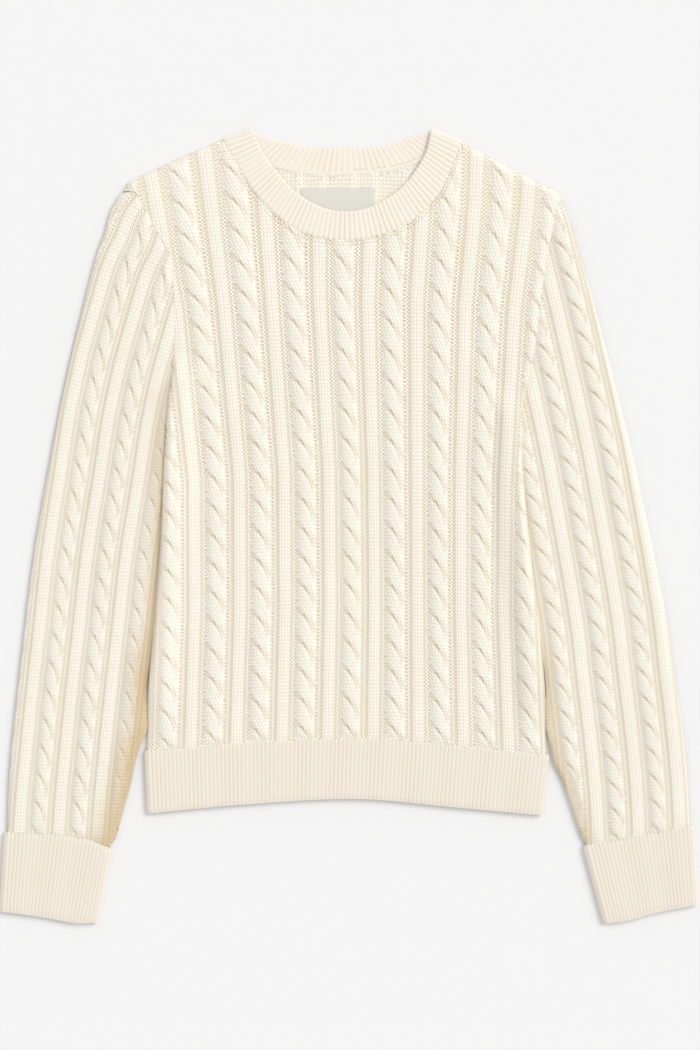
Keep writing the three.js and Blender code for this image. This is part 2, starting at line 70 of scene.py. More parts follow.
# Relief of the knit
CABLE_RISE = 2.6
CREASE_RISE = 0.9
STRAND_RISE = 0.24
STRAND_TURN = {"at": 0.65, "share": 0.11}
CABLE_ROUND = 2.6
PLAIN_RISE = 0.9
PLAIN_ROUND = 6
INSIDE_RISE = 0.5
# Share of the purl stitches, with their painted shade, that shows on the inside of the back
INSIDE_PURL = 0.25
INSIDE_SHIFT = -0.135
COURSES = 8
CABLE_WALES = 6
GUTTER_WALES = 2
PLAIN_WALES = 4
REPEAT_WALES = CABLE_WALES + PLAIN_WALES + 2 * GUTTER_WALES
MOST_WALES = 1.2
PURL_BLEND = 0.25

# Painted shade of the knit: along a crease, at the gather above it, where a strand sinks,
# and at the foot of a plain column; ages are parts of a crossing since a strand came out
CREASE_SHADE = {"below": 1.7, "above": 0.7, "above_share": 0.8}
GATHER_SHADE = {"age": 0.91, "width": 0.7, "shade": 0.5, "across": (-0.7, -0.4)}
SINK_SHADE = {"shade": 0.28, "age": (0.4, 0.75, 0.85, 1), "across": (0.1, 0.5, 0.8, 1)}
FOOT_SHADE = {"shade": 0.28, "width": 0.7}

# Where across a cable the rows of the mesh dip along its creases
DIP_SPAN = (-2, -1, 0, 0.9)

# Where the cable ends and where the purl gutter ends, in parts of the cable pitch from the middle
BODY_REPEAT = {"cable": 0.214, "gutter": 0.368}
SLEEVE_REPEAT = {"cable": 0.2, "gutter": 0.345}

# Cable crossings up the body
FIRST_CROSSING = -175.3
CROSSING_PITCH = 23.9
CROSSING_GROWTH = 0.092
COURSE_ARCH = 0.7

# Cables and crossings that the nets of the body and of a sleeve span
BODY_SPAN = {"cables": (-5, 6), "crossings": (-2, 24)}
SLEEVE_SPAN = {"cables": (-2, 5), "spare": 2}

# One strand of a cable: how far below its crossing it comes out, how deep it lies there,
# how deep it dives at its end, over which part of the pitch, and how strong the painted shade in the crease
# is
ROPE = table(
    "across start under dive run dark",
    (-1.00, -0.21, 0.60, 0.15, 0.10, 0.45),
    (-0.60, -0.10, 0.85, 0.10, 0.10, 0.70),
    (-0.33, -0.04, 1.00, 0.05, 0.10, 1.00),
    (-0.20, 0.01, 1.05, 0.05, 0.10, 1.00),
    (-0.06, 0.08, 1.00, 0.10, 0.15, 0.95),
    (0.07, 0.19, 0.80, 0.25, 0.25, 0.55),
    (0.20, 0.34, 0.60, 0.48, 0.35, 0.25),
    (0.35, 0.48, 0.50, 0.52, 0.40, 0.14),
    (0.56, 0.60, 0.42, 0.45, 0.40, 0.08),
    (0.92, 0.72, 0.30, 0.30, 0.40, 0.00),
    (1.00, 0.78, 0.25, 0.25, 0.40, 0.00),
)

CABLE_LINES = table(
    "y middle right left",
    (-200, -0.4, 39.8, 39.4),
    (-66, 1.7, 39.2, 37.4),
    (47, 0.4, 38.9, 38.0),
    (195, -6.5, 41.5, 42.4),
    (282, -4.8, 46.7, 45.0),
    (345, -4.8, 50.0, 46.0),
)

BODY_EDGES = table(
    "y right left",
    (-200, -176.9, 170.1),
    (-140, -174.1, 167.4),
    (-95, -170.1, 163.9),
    (-50, -166.3, 158.0),
    (0, -162.8, 152.7),
    (50, -161.1, 148.0),
    (100, -157.9, 148.3),
    (134, -154.1, 154.8),
    (150, -151.8, 158.9),
    (200, -151.8, 164.4),
    (236, -156.2, 170.0),
    (259, -170.1, 174.8),
    (277, -178.8, 177.2),
    (289.3, -185.6, 179.7),
    (299, -191.0, 179.7),
)
UNDERARM = {"right": 136, "left": 105}
SHOULDERS = {
    "right": [(-198, 289.5), (-193.5, 297.5), (-187, 301), (-162.3, 312.8), (-130, 326.7), (-108.5, 335.7)],
    "left": [(184.4, 281.5), (183.6, 286), (180.5, 290), (160.5, 298.9), (134.4, 312.8), (94, 334.7)],
}

# How the side edges of the body lie over the sleeves
OVERLAP = 9
EDGE_RISE = 6.6
EDGE_RISE_FALL = 0.155
RISE_WIDTH = 21
OVERLAP_END = -135
RISE_END = -183
RISE_STEP = 14
RISE_TAPER = 27

FRONT_NECK_SEAM = [
    (-109, 332.3), (-97.9, 311.9), (-78.7, 283.2), (-46.5, 256.2), (-3.9, 247),
    (40.9, 257.1), (72.6, 283.2), (87.4, 312.5), (94.6, 331),
]
FRONT_NECK_FREE = [
    (-83.8, 340.5), (-74, 319.7), (-50, 291), (-24.8, 275.4), (1.3, 271.9),
    (26.5, 280.1), (49.2, 298), (64.5, 322), (69.4, 341),
]
BACK_NECK_SEAM = [
    (-109, 332.3), (-91.8, 322.3), (-70.9, 311.9), (-43.9, 304.9), (-8.3, 303.2),
    (32.6, 306.7), (57, 313.6), (77.9, 323.2), (94.6, 331),
]
BACK_NECK_FREE = [
    (-83.8, 340.5), (-63.1, 333.6), (-30.9, 328), (-7, 327.6),
    (32.6, 329.3), (49.2, 334.5), (69.4, 341),
]
HEM_TOP = [(-176.4, -197), (-85, -189), (15, -185.5), (90, -191.5), (169.8, -200.3)]
HEM_BOTTOM = [(-173.8, -250.7), (-90, -243), (5, -238.3), (95, -246), (163.8, -252.3)]

# Outer edge of each sleeve from cuff to shoulder, lean of the courses across it,
# and how far in from that edge its first cable and the next ones run
SLEEVE_OUTER = {
    "right": table(
        "y x lean cable",
        (-277.0, -298.3, 1.3, 27),
        (-204.9, -295.4, 1.0, 30),
        (-83.1, -282.3, 1.1, 30),
        (-22.2, -274.5, 2.0, 29),
        (38.7, -264.1, 5.7, 28),
        (99.6, -252.7, 11.5, 26),
        (151.8, -241.4, 16.2, 26),
        (228.4, -222.3, 19, 29),
        (253.6, -213.6, 20, 32),
        (276.2, -206.6, 22, 34),
        (299.5, -190.5, 22, 36),
    ),
    "left": table(
        "y x lean cable",
        (-272.0, 295.6, 10.7, 28),
        (-204.9, 291.9, 10, 28),
        (-117.9, 279.7, 9.5, 25.5),
        (-65.7, 271.9, 9, 24),
        (38.7, 250.1, 12, 20.5),
        (90.9, 237.9, 15, 18.5),
        (177.9, 215.3, 17, 15.5),
        (236.2, 198.8, 19, 13),
        (257.1, 192.7, 20, 12),
        (278.0, 184.9, 22, 11),
        (289.5, 179.2, 22, 10),
    ),
}
# First crossing up each sleeve, pitch and growth of the crossings, and pitch of the cables
SLEEVE_KNIT = {
    "right": {"first": 11.4, "pitch": 23.7, "growth": 0.086, "cables": 34},
    "left": {"first": 14.4, "pitch": 21.8, "growth": 0.134, "cables": 36},
}
# Inner edge of each sleeve below the body
SLEEVE_INNER = {
    "right": [
        (-182, -190), (-186.6, -204.9), (-190.1, -222.3),
        (-194.4, -239.7), (-204, -273), (-210.6, -281.2),
    ],
    "left": [
        (173, -190), (177, -209.2), (184.9, -224.9),
        (190.1, -240.6), (200, -270), (204.6, -278.7),
    ],
}
CUFFS = {
    "right": {
        "opening": [(-302.3, -336.3), (-269.3, -340.6), (-240.6, -345.8), (-222.5, -345.8)],
        "top": [(-298.2, -267.8), (-262.3, -268.6), (-228.8, -273.0), (-210.4, -281.6)],
    },
    "left": {
        "opening": [(222.7, -346.3), (242.3, -343.6), (265.8, -337.1), (299.0, -330.6)],
        "top": [(204.8, -279.2), (224, -275.1), (265.8, -267.2), (294.9, -261.9)],
    },
}

# Ribs of each band, their height, the length of a course, how rounded they are,
# and how much of their height shows on the inner side
RIBS = {"front_neck": 60, "back_neck": 38, "hem": 98, "cuff": 26}
RIB_RISE = 0.45
RIB_COURSE = 2.5
RIB_ROUND = 3
RIB_INNER = 0.4

# Reach of the ribs past their seam, its least share in a groove, how uneven the ribs are and how
# that turns from rib to rib, rounding and wall of the ends, and strength of the painted shade in the grooves
RIB_ENDS = {
    "reach": 1.1, "least": 0.3, "uneven": 0.4, "reach_turn": 2.1, "groove_turn": 0.7,
    "free_round": 2.0, "seam_round": 3.0, "end_wall": 0.2, "groove": 0.3,
}

# Steps across a rib, round the fold of a band and along its ribs, and levels of the bands
BAND_STEPS = {"rib": 5, "fold": 6, "along": 12, "neck_along": 20}
TUBE_LEVELS = {"front_outer": TUBE_TOP, "front_inner": 3.0, "back_inner": 2.4, "back_outer": 0.0}
NECK_LEVELS = {
    "front_outer": BAND_UNDERSIDE + BAND_WALL,
    "front_inner": BAND_UNDERSIDE,
    "back_inner": BACK_TOP,
    "back_outer": 0.0,
}

# Label, the share of its wall at its edges and how wide the edges are
LABEL = {"left": 20.5, "right": -43, "top": 292, "bottom": 262, "level": 2.65, "wall": 0.5}
LABEL_EDGE = {"share": 0.6, "width": 2}
LABEL_NET = (33, 17)

# Points along the smooth lines, and steps between two given points of such a line
LINE_POINTS = {"seam": 60, "sleeve": 400, "sleeve_outline": 120, "cuff": 30}
LINE_STEPS = 40

# Nets of the skins: rows for each crossing, and steps across half a cable, a gutter and half a plain column
NETS = {
    "front": {"top": (14, (8, 4, 3)), "under": (4, (3, 1, 1))},
    "back": {"top": (6, (6, 3, 3)), "under": (12, (6, 3, 3))},
    "sleeve": {"top": (13, (7, 4, 3)), "under": (10, (5, 3, 2)), "hollow": (3, (3, 2, 1))},
}

# Passes that fill in where two cells of a net touch only at a corner
FILL_PASSES = 3

# Rounding of folded edges and of seams
FOLD_ROUND = 6.0
SEAM_ROUND = 2.2
SEAM_TUCK = 1.2
SEAM_DIP = 0.15
ARMHOLE_LAP = 1.2
EDGE_STEP = 6
SHARP_EDGE = math.radians(60)

# How the front wraps round the folded edges of the back, and how strong the painted shade along its edge is
# where it lies on a sleeve
WRAP = {"top": 0.6, "bottom": 0.2, "lap": 0.84, "width": 2.0, "inset": 4.5, "shade": 0.3, "risen": (1, 5)}

# Share of the relief left at a seam, a folded edge and an armhole, and where it starts to grow and is full
FADES = {"seam": (0.3, 1, 7), "fold": (0.15, 1, 7), "armhole": (0.3, 0, 6)}

# How the gutters and creases, with their painted shade, grow fainter towards the shoulders
SHOULDER_FADE = {"share": 0.3, "span": (20, 120)}

# Eyelets along the neck seam, and the ridge that links the back neckband
EYELETS = {"start": 1.6, "height": 2.6, "pitch": 2.9, "rows": 2.0, "stagger": 0.5, "narrow": 3.2}
LINK_RIDGE = {"width": 5.5, "rise": 0.9, "base": 0.6, "blend": 0.9}
# Painted shade line along the edge of the linking ridge
LINK_LINE = {"at": 0.94, "width": 0.7, "shade": 0.45}

# How much of the relief and of the folds shows on the side that lies on the surface
UNDER_RELIEF = 0.3
UNDER_FOLDS = 0.5
UNDER_MOST = 1

# How a sleeve changes from its folded inner edge to its armhole, and its relief and folds near an edge
SLEEVE_ARMHOLE = (-60, -5)
SLEEVE_RELIEF = (4, 14)
SLEEVE_FOLDS = 12
SLEEVE_EDGE_STEP = 4

# How far the top of a sleeve stays below the corner of the shoulder; negative is above it
SLEEVE_TIP = -0.5

# Painted shadow of the body's edge on each sleeve beside it
SLEEVE_TUCK_SHADOW = {"right": {"width": 30, "shade": 0.9}, "left": {"width": 18, "shade": 0.5}}

# Soft troughs and ridges of the laid cloth; turn is in degrees to the right of upright
FOLDS = table(
    "x y turn length width bend rise",
    (118, -135, 4, 95, 9, 6, -1.3),
    (92, -40, -5, 70, 12, -5, 0.6),
    (-96, -150, -7, 60, 11, 4, -0.8),
    (20, -168, 2, 34, 8, 0, -0.9),
    (-132, 120, 24, 55, 9, 8, -1.0),
    (128, 128, -30, 48, 8, -6, -0.8),
    (-247, -40, 10, 120, 8, 5, -1.0),
    (-262, -150, 5, 80, 7, -4, 0.7),
    (252, -95, -9, 90, 8, 5, -0.8),
    (228, 40, -16, 70, 9, -4, 0.6),
)


def column(rows, name):
    return np.array([row[name] for row in rows], float)


def read(rows, y, name):
    """Value of one column of a table at a height y."""
    return np.interp(y, column(rows, "y"), column(rows, name))


def ease(value, start, end):
    t = np.clip((value - start) / (end - start), 0, 1)
    return t * t * (3 - 2 * t)


def hump(value, start, full, fall, end):
    """Soft step up and down again."""
    return ease(value, start, full) * (1 - ease(value, fall, end))


def bell(distance, width):
    return np.exp(-((distance / width) ** 2))


def fade(distance, kind):
    """Share of the relief that shows at a distance from a seam, a fold or an armhole."""
    share, start, full = FADES[kind]
    return share + (1 - share) * ease(distance, start, full)


def sign_of(side):
    return 1 if side == "left" else -1


def smooth_line(points, count):
    """Evenly spaced points along a smooth curve through the given ones."""
    p = np.array(points, float)
    p = np.vstack([p[:1], p, p[-1:]])
    spans = len(points) - 1
    t = np.linspace(0, spans, LINE_STEPS * spans + 1)
    i = np.minimum(t.astype(int), spans - 1)
    t = (t - i)[:, None]
    before, here, there, after = p[i], p[i + 1], p[i + 2], p[i + 3]
    go, come = (there - before) / 2, (after - here) / 2
    fine = (
        here + go * t
        + (3 * (there - here) - 2 * go - come) * t**2
        + (2 * (here - there) + go + come) * t**3
    )
    run = np.concatenate([[0], np.cumsum(np.hypot(*np.diff(fine, axis=0).T))])
    even = np.linspace(0, run[-1], count)
    return np.stack([np.interp(even, run, fine[:, k]) for k in (0, 1)], 1)


def moved_aside(line, distance):
    """A line of points moved to its left."""
    along = np.gradient(line, axis=0)
    along /= np.hypot(*along.T)[:, None]
    return line + np.stack([-along[:, 1], along[:, 0]], 1) * distance


def nearest(line, x, y, closed=False):
    """Distance to a line, the nearest point on it and how far along the line that is."""
    ends = np.roll(line, -1, axis=0) if closed else line[1:]
    distance = np.full(x.shape, np.inf)
    foot_x, foot_y, place = x.copy(), y.copy(), np.zeros(x.shape)
    start = 0.0
    for (ax, ay), (bx, by) in zip(line, ends):
        dx, dy = bx - ax, by - ay
        length = math.hypot(dx, dy)
        if length == 0:
            continue
        t = np.clip(((x - ax) * dx + (y - ay) * dy) / length**2, 0, 1)
        px, py = ax + t * dx, ay + t * dy
        away = np.hypot(x - px, y - py)
        closer = away < distance
        distance[closer] = away[closer]
        foot_x[closer], foot_y[closer] = px[closer], py[closer]
        place[closer] = start + t[closer] * length
        start += length
    return distance, foot_x, foot_y, place


def inside(outline, x, y):
    """Whether points lie within a closed outline."""
    hit = np.zeros(x.shape, bool)
    for (ax, ay), (bx, by) in zip(outline, np.roll(outline, -1, axis=0)):
        if ay != by:
            hit ^= ((ay > y) != (by > y)) & (x < ax + (y - ay) * (bx - ax) / (by - ay))
    return hit


def border_loop(kept, corners):
    """Longest loop of corners round the cells that are kept."""
    beyond = np.pad(kept, 1)
    neighbours = [beyond[:-2, 1:-1], beyond[1:-1, 2:], beyond[2:, 1:-1], beyond[1:-1, :-2]]
    follow = {}
    for k, neighbour in enumerate(neighbours):
        edge = kept & ~neighbour
        follow.update(zip(corners[k][edge].tolist(), corners[(k + 1) % 4][edge].tolist()))
    loops = []
    while follow:
        first, here = follow.popitem()
        loop = [first]
        while here != first:
            loop.append(here)
            here = follow.pop(here)
        loops.append(loop)
    return np.array(max(loops, key=len))


def trimmed(lattice, outline):
    """Part of a lattice within an outline: its points, quads, border and places along the outline."""
    x, y = lattice["x"], lattice["y"]
    rows, columns = x.shape
    kept = inside(outline, (x[:-1, :-1] + x[1:, 1:]) / 2, (y[:-1, :-1] + y[1:, 1:]) / 2)
    for _ in range(FILL_PASSES):
        low, high = kept[:-1], kept[1:]
        rising = low[:, :-1] & high[:, 1:] & ~low[:, 1:] & ~high[:, :-1]
        falling = low[:, 1:] & high[:, :-1] & ~low[:, :-1] & ~high[:, 1:]
        kept[:-1, 1:] |= rising
        kept[:-1, :-1] |= falling
    ids = np.arange(rows * columns).reshape(rows, columns)
    corners = [ids[:-1, :-1], ids[:-1, 1:], ids[1:, 1:], ids[1:, :-1]]
    loop = border_loop(kept, corners)
    quads = np.stack(corners, -1)[kept]
    used = np.unique(quads)
    order = np.zeros(rows * columns, int)
    order[used] = np.arange(len(used))
    facts = {name: values.ravel()[used].astype(float) for name, values in lattice.items()}
    loop = order[loop]
    _, foot_x, foot_y, place = nearest(outline, facts["x"][loop], facts["y"][loop], closed=True)
    facts["x"][loop], facts["y"][loop] = foot_x, foot_y
    begin = int(np.argmin(place))
    loop, place = np.roll(loop, -begin), np.roll(place, -begin)
    return facts, order[quads], loop, np.maximum.accumulate(place)


def zipped(upper, upper_place, lower, lower_place):
    """Triangles between two border loops that follow the same outline."""
    triangles = []
    i = j = 0
    ends = upper_place[-1] + 1, lower_place[-1] + 1
    upper_place = np.append(upper_place, ends[0])
    lower_place = np.append(lower_place, ends[1])
    while i < len(upper) or j < len(lower):
        u, v = upper[i % len(upper)], lower[j % len(lower)]
        if j == len(lower) or (i < len(upper) and upper_place[i + 1] <= lower_place[j + 1]):
            i += 1
            triangles.append((u, v, upper[i % len(upper)]))
        else:
            j += 1
            triangles.append((v, lower[j % len(lower)], u))
    return triangles


def add_piece(name, facts, faces, material):
    """Mesh object of one piece, with its knit coordinates and its purl and shade values."""
    points = np.stack([facts["x"] + ORIGIN[0], facts["y"] + ORIGIN[1], facts["z"]], 1) * METRE
    mesh = bpy.data.meshes.new(name)
    mesh.from_pydata(points.tolist(), [], faces)
    corners = np.zeros(len(mesh.loops), int)
    mesh.loops.foreach_get("vertex_index", corners)
    first = np.repeat(facts["wale"][[face[0] for face in faces]], [len(face) for face in faces])
    jump = facts["wale"][corners] - first
    whole = np.where(np.abs(jump) > MOST_WALES, np.round(jump), 0)
    stitches = np.stack([first + jump - whole, facts["course"][corners]], 1)
    mesh.uv_layers.new(name="knit").data.foreach_set("uv", stitches.ravel())
    eyelets = np.stack([facts["along"], facts["row"]], 1)[corners]
    mesh.uv_layers.new(name="seam").data.foreach_set("uv", eyelets.ravel())
    for value in ("purl", "shade"):
        mesh.attributes.new(value, "FLOAT", "POINT").data.foreach_set("value", facts[value])
    mesh.shade_smooth()
    mesh.set_sharp_from_angle(angle=SHARP_EDGE)
    mesh.materials.append(material)
    piece = bpy.data.objects.new(name, mesh)
    bpy.context.collection.objects.link(piece)
    return piece


def closed_skin(top, under, outline, top_height, under_height):
    """Points and faces of a closed skin between a finely and a coarsely netted surface."""
    upper, quads, upper_loop, upper_place = trimmed(top, outline)
    lower, lower_quads, lower_loop, lower_place = trimmed(under, outline)
    upper["z"] = top_height(upper)
    lower["z"] = under_height(lower)
    count = len(upper["x"])
    facts = {key: np.concatenate([upper[key], lower[key]]) for key in upper}
    faces = quads.tolist() + (lower_quads[:, ::-1] + count).tolist()
    faces += zipped(upper_loop, upper_place, lower_loop + count, lower_place)
    return facts, faces


def hollowed(facts, faces, hollow, hollow_faces):
    """A skin with another one, turned inside out, as its hollow."""
    count = len(facts["x"])
    joined = {key: np.concatenate([facts[key], hollow[key]]) for key in facts}
    return joined, faces + [tuple(corner + count for corner in face[::-1]) for face in hollow_faces]


def crease_dip(at, repeat):
    """How far a row of the lattice dips below its course, so that one row follows each crease."""
    u = (at - np.round(at)) / repeat["cable"]
    start = np.interp(u, column(ROPE, "across"), column(ROPE, "start"))
    return start * hump(u, *DIP_SPAN)


def half_repeat(repeat, steps):
    """Places from the middle of a cable to the middle of the next plain column."""
    edges = [0, repeat["cable"], repeat["gutter"], 0.5]
    places = []
    for start, end, count in zip(edges, edges[1:], steps):
        places += np.linspace(start, end, count, endpoint=False).tolist()
    return np.array(places[1:])


def repeats_across(repeat, steps, first, last):
    half = half_repeat(repeat, steps)
    one = np.concatenate([-half[::-1], [0], half, [0.5]])
    return np.unique(np.round(np.concatenate([one + k for k in range(first, last)]), 6))


def knit(at, rise, pitch, course_pitch, repeat, outside=True):
    """Relief, stitches and shade of the knit; at counts cables to the right and rise crossings up."""
    cable = np.round(at)
    at = at - cable
    away = np.abs(at)
    u = np.clip(at / repeat["cable"], -1, 1)
    rope = {name: np.interp(u, column(ROPE, "across"), column(ROPE, name)) for name in ROPE[0]}
    age = np.mod(-rise - rope["start"], 1)
    height = 1 - rope["under"] * (1 - ease(age, 0, STRAND_RISE))
    height -= rope["dive"] * ease(age, 1 - rope["run"], 1)
    cable_side = 1 - np.abs(u) ** CABLE_ROUND
    in_cable = away < repeat["cable"]
    plain = np.clip((0.5 - away) / (0.5 - repeat["gutter"]), 0, 1)
    relief = np.where(
        in_cable,
        (CREASE_RISE + (CABLE_RISE - CREASE_RISE) * height) * cable_side,
        PLAIN_RISE * (1 - plain**PLAIN_ROUND),
    )
    edges = [0, repeat["cable"], repeat["gutter"], 0.5]
    counts = [0, CABLE_WALES / 2, CABLE_WALES / 2 + GUTTER_WALES, REPEAT_WALES / 2]
    wale = np.sign(at) * np.interp(away, edges, counts)
    turn = 2 * math.pi * (rise + STRAND_TURN["at"])
    strand = (u + rise + STRAND_TURN["share"] * np.sin(turn)) * CABLE_WALES / 2
    wale = np.where(in_cable & outside, strand, wale) + cable * REPEAT_WALES
    blend = PURL_BLEND / REPEAT_WALES
    start, end = repeat["cable"], repeat["gutter"]
    purl = hump(away, start - blend, start + blend, end - blend, end + blend)
    # Painted shade along the crease, at the gather above it, where a strand sinks and at the foot of a plain
    # column
    crease = np.exp(-age * course_pitch / CREASE_SHADE["below"])
    crease += CREASE_SHADE["above_share"] * np.exp((age - 1) * course_pitch / CREASE_SHADE["above"])
    gather = bell((age - GATHER_SHADE["age"]) * course_pitch, GATHER_SHADE["width"])
    gather = GATHER_SHADE["shade"] * gather * (1 - ease(u, *GATHER_SHADE["across"]))
    sinking_shade = SINK_SHADE["shade"] * hump(age, *SINK_SHADE["age"]) * hump(u, *SINK_SHADE["across"])
    shade = np.where(in_cable, np.clip(rope["dark"] * crease + gather + sinking_shade, 0, 1), 0)
    foot = FOOT_SHADE["shade"] * bell((at - repeat["gutter"]) * pitch, FOOT_SHADE["width"])
    shade = np.maximum(shade, foot)
    return {"relief": relief, "wale": wale, "course": rise * COURSES, "purl": purl, "shade": shade}


def overlap_at(side, y):
    """How far the side edge of the body overlaps the sleeve; negative is a gap."""
    start = UNDERARM[side] - RISE_STEP
    top = ease(-y, -start, -start + RISE_TAPER)
    bottom = ease(y, OVERLAP_END, OVERLAP_END + 2 * RISE_TAPER)
    return -SEAM_GAP + (OVERLAP + SEAM_GAP) * np.minimum(top, bottom)


def rise_at(x, y):
    """Rise of the body where its side edges lie over the sleeves."""
    total = np.zeros(np.shape(x))
    for side in SIDES:
        from_edge = np.maximum((read(BODY_EDGES, y, side) - x) * sign_of(side), 0)
        top = ease(-y, -UNDERARM[side] - RISE_STEP, -UNDERARM[side] + RISE_STEP)
        bottom = ease(y, RISE_END, OVERLAP_END)
        full = EDGE_RISE - EDGE_RISE_FALL * np.minimum(from_edge, OVERLAP)
        total += full * (1 - ease(from_edge, OVERLAP, OVERLAP + RISE_WIDTH)) * np.minimum(top, bottom)
    return total


def unseamed(facts):
    """Facts of a lattice that has no seam near."""
    facts["along"] = np.zeros(facts["x"].shape)
    facts["row"] = -np.ones(facts["x"].shape)
    return facts


def body_lattice(per_crossing, wale_steps, outside=True, shift=0):
    """Lattice of a body panel, along its courses and wales; shift moves its cables aside."""
    low, high = BODY_SPAN["crossings"]
    rows = (np.arange(low * per_crossing, high * per_crossing) + 0.5) / per_crossing
    s, n = np.meshgrid(repeats_across(BODY_REPEAT, wale_steps, *BODY_SPAN["cables"]), rows)
    n = n - crease_dip(s, BODY_REPEAT)
    level = FIRST_CROSSING + CROSSING_PITCH * n + CROSSING_GROWTH * n**2
    pitch = np.where(s < 0, read(CABLE_LINES, level, "right"), read(CABLE_LINES, level, "left"))
    x = read(CABLE_LINES, level, "middle") + s * pitch
    y = level - COURSE_ARCH * s**2
    knitted = knit(s - shift, n, pitch, CROSSING_PITCH, BODY_REPEAT, outside)
    return unseamed({"x": x, "y": y, **knitted})


def body_edge(side, low, high, inset):
    """Side edge of the body between two heights, upwards; without an inset it laps the sleeve."""
    heights = np.linspace(low, high, int((high - low) / EDGE_STEP) + 2)
    armhole = ease(heights, UNDERARM[side] - RISE_STEP, UNDERARM[side])
    moved = inset * (1 - armhole) - ARMHOLE_LAP
    return [(read(BODY_EDGES, y, side) - sign_of(side) * m, y) for y, m in zip(heights, moved)]


def seam_line(points, tuck):
    """Seam of a body panel, tucked under the band that is knitted on there."""
    return moved_aside(smooth_line(points, LINE_POINTS["seam"]), tuck)


def shoulder_line(side, inset):
    return [(x - sign_of(side) * inset, y - inset) for x, y in SHOULDERS[side]]


def body_outline(neck, inset):
    """Outline of a body panel, counter-clockwise from the right end of the hem."""
    hem = seam_line(HEM_TOP, -SEAM_TUCK)
    hem[:, 0] -= np.sign(hem[:, 0]) * inset
    left = body_edge("left", hem[-1, 1] + EDGE_STEP, SHOULDERS["left"][0][1] - 1, inset)
    right = body_edge("right", hem[0, 1] + EDGE_STEP, SHOULDERS["right"][0][1] - 1, inset)
    left += shoulder_line("left", inset)
    right += shoulder_line("right", inset)
    return np.array([*hem, *left, *neck[::-1], *right[::-1]])


def edge_profile(distance, radius):
    t = 1 - np.clip(distance / radius, 0, 1)
    return np.sqrt(1 - t * t)


def seam_profile(distance):
    """Slight dip of the knit along a seam."""
    return 1 - SEAM_DIP * (1 - edge_profile(distance, SEAM_ROUND))


def least(lines, x, y):
    """Distance to the nearest of several lines."""
    return np.minimum.reduce([nearest(np.array(line), x, y)[0] for line in lines])


def body_folds():
    """Folded side edges and shoulders of the body."""
    bottom = HEM_TOP[0][1]
    return [body_edge(side, bottom, UNDERARM[side], 0) for side in SIDES] + body_shoulders()


def body_shoulders():
    return [shoulder_line(side, 0) for side in SIDES]


def body_armholes():
    return [body_edge(side, UNDERARM[side], SHOULDERS[side][0][1], 0) for side in SIDES]


def soft_folds(x, y, sign=1):
    """Soft troughs and ridges of the laid cloth."""
    height = np.zeros(np.shape(x))
    for fold in FOLDS:
        turn = math.radians(fold["turn"])
        dx, dy = x - sign * fold["x"], y - fold["y"]
        along = dx * math.sin(turn) * sign + dy * math.cos(turn)
        across = dx * math.cos(turn) - dy * math.sin(turn) * sign
        bend = across - fold["bend"] * (along / fold["length"]) ** 2
        height += fold["rise"] * bell(bend, fold["width"]) * bell(along, fold["length"])
    return height


def make_front(material):
    top = body_lattice(*NETS["front"]["top"])
    under = body_lattice(*NETS["front"]["under"])
    neck = seam_line(FRONT_NECK_SEAM, SEAM_TUCK)[1:-1]
    hem = seam_line(HEM_TOP, -SEAM_TUCK)

    def top_height(facts):
        x, y = facts["x"], facts["y"]
        fold = least(body_folds(), x, y)
        armhole = least(body_armholes(), x, y)
        neck_away, _, _, neck_place = nearest(neck, x, y)
        seam = np.minimum(neck_away, nearest(hem, x, y)[0])
        facts["along"] = neck_place / EYELETS["pitch"]
        facts["row"] = (neck_away - EYELETS["start"]) / EYELETS["height"]
        shoulder = least(body_shoulders(), x, y)
        faint = SHOULDER_FADE["share"] * (1 - ease(shoulder, *SHOULDER_FADE["span"]))
        facts["purl"] = facts["purl"] * (1 - faint)
        facts["shade"] = facts["shade"] * (1 - faint)
        cover = fade(seam, "seam") * fade(fold, "fold") * fade(armhole, "armhole")
        wall = FRONT_WALL + facts["relief"] * cover + soft_folds(x, y)
        rise = rise_at(x, y)
        flat = rise + FRONT_UNDERSIDE + wall * seam_profile(seam)
        lip = WRAP["top"] + WRAP["lap"] * rise
        # Painted shade along the folded edge where the front lies risen over a sleeve
        wrap_shade = (1 - ease(fold, 0, WRAP["width"])) * ease(rise, *WRAP["risen"])
        facts["shade"] = np.maximum(facts["shade"], WRAP["shade"] * wrap_shade)
        return lip + (flat - lip) * edge_profile(fold, FOLD_ROUND)

    def under_height(facts):
        fold = least(body_folds(), facts["x"], facts["y"])
        rise = rise_at(facts["x"], facts["y"])
        lip = WRAP["bottom"] + WRAP["lap"] * rise
        return lip + (rise + FRONT_UNDERSIDE - lip) * ease(fold, 0, WRAP["width"])

    skin = closed_skin(top, under, body_outline(neck, 0), top_height, under_height)
    return add_piece("front_knit", *skin, material)


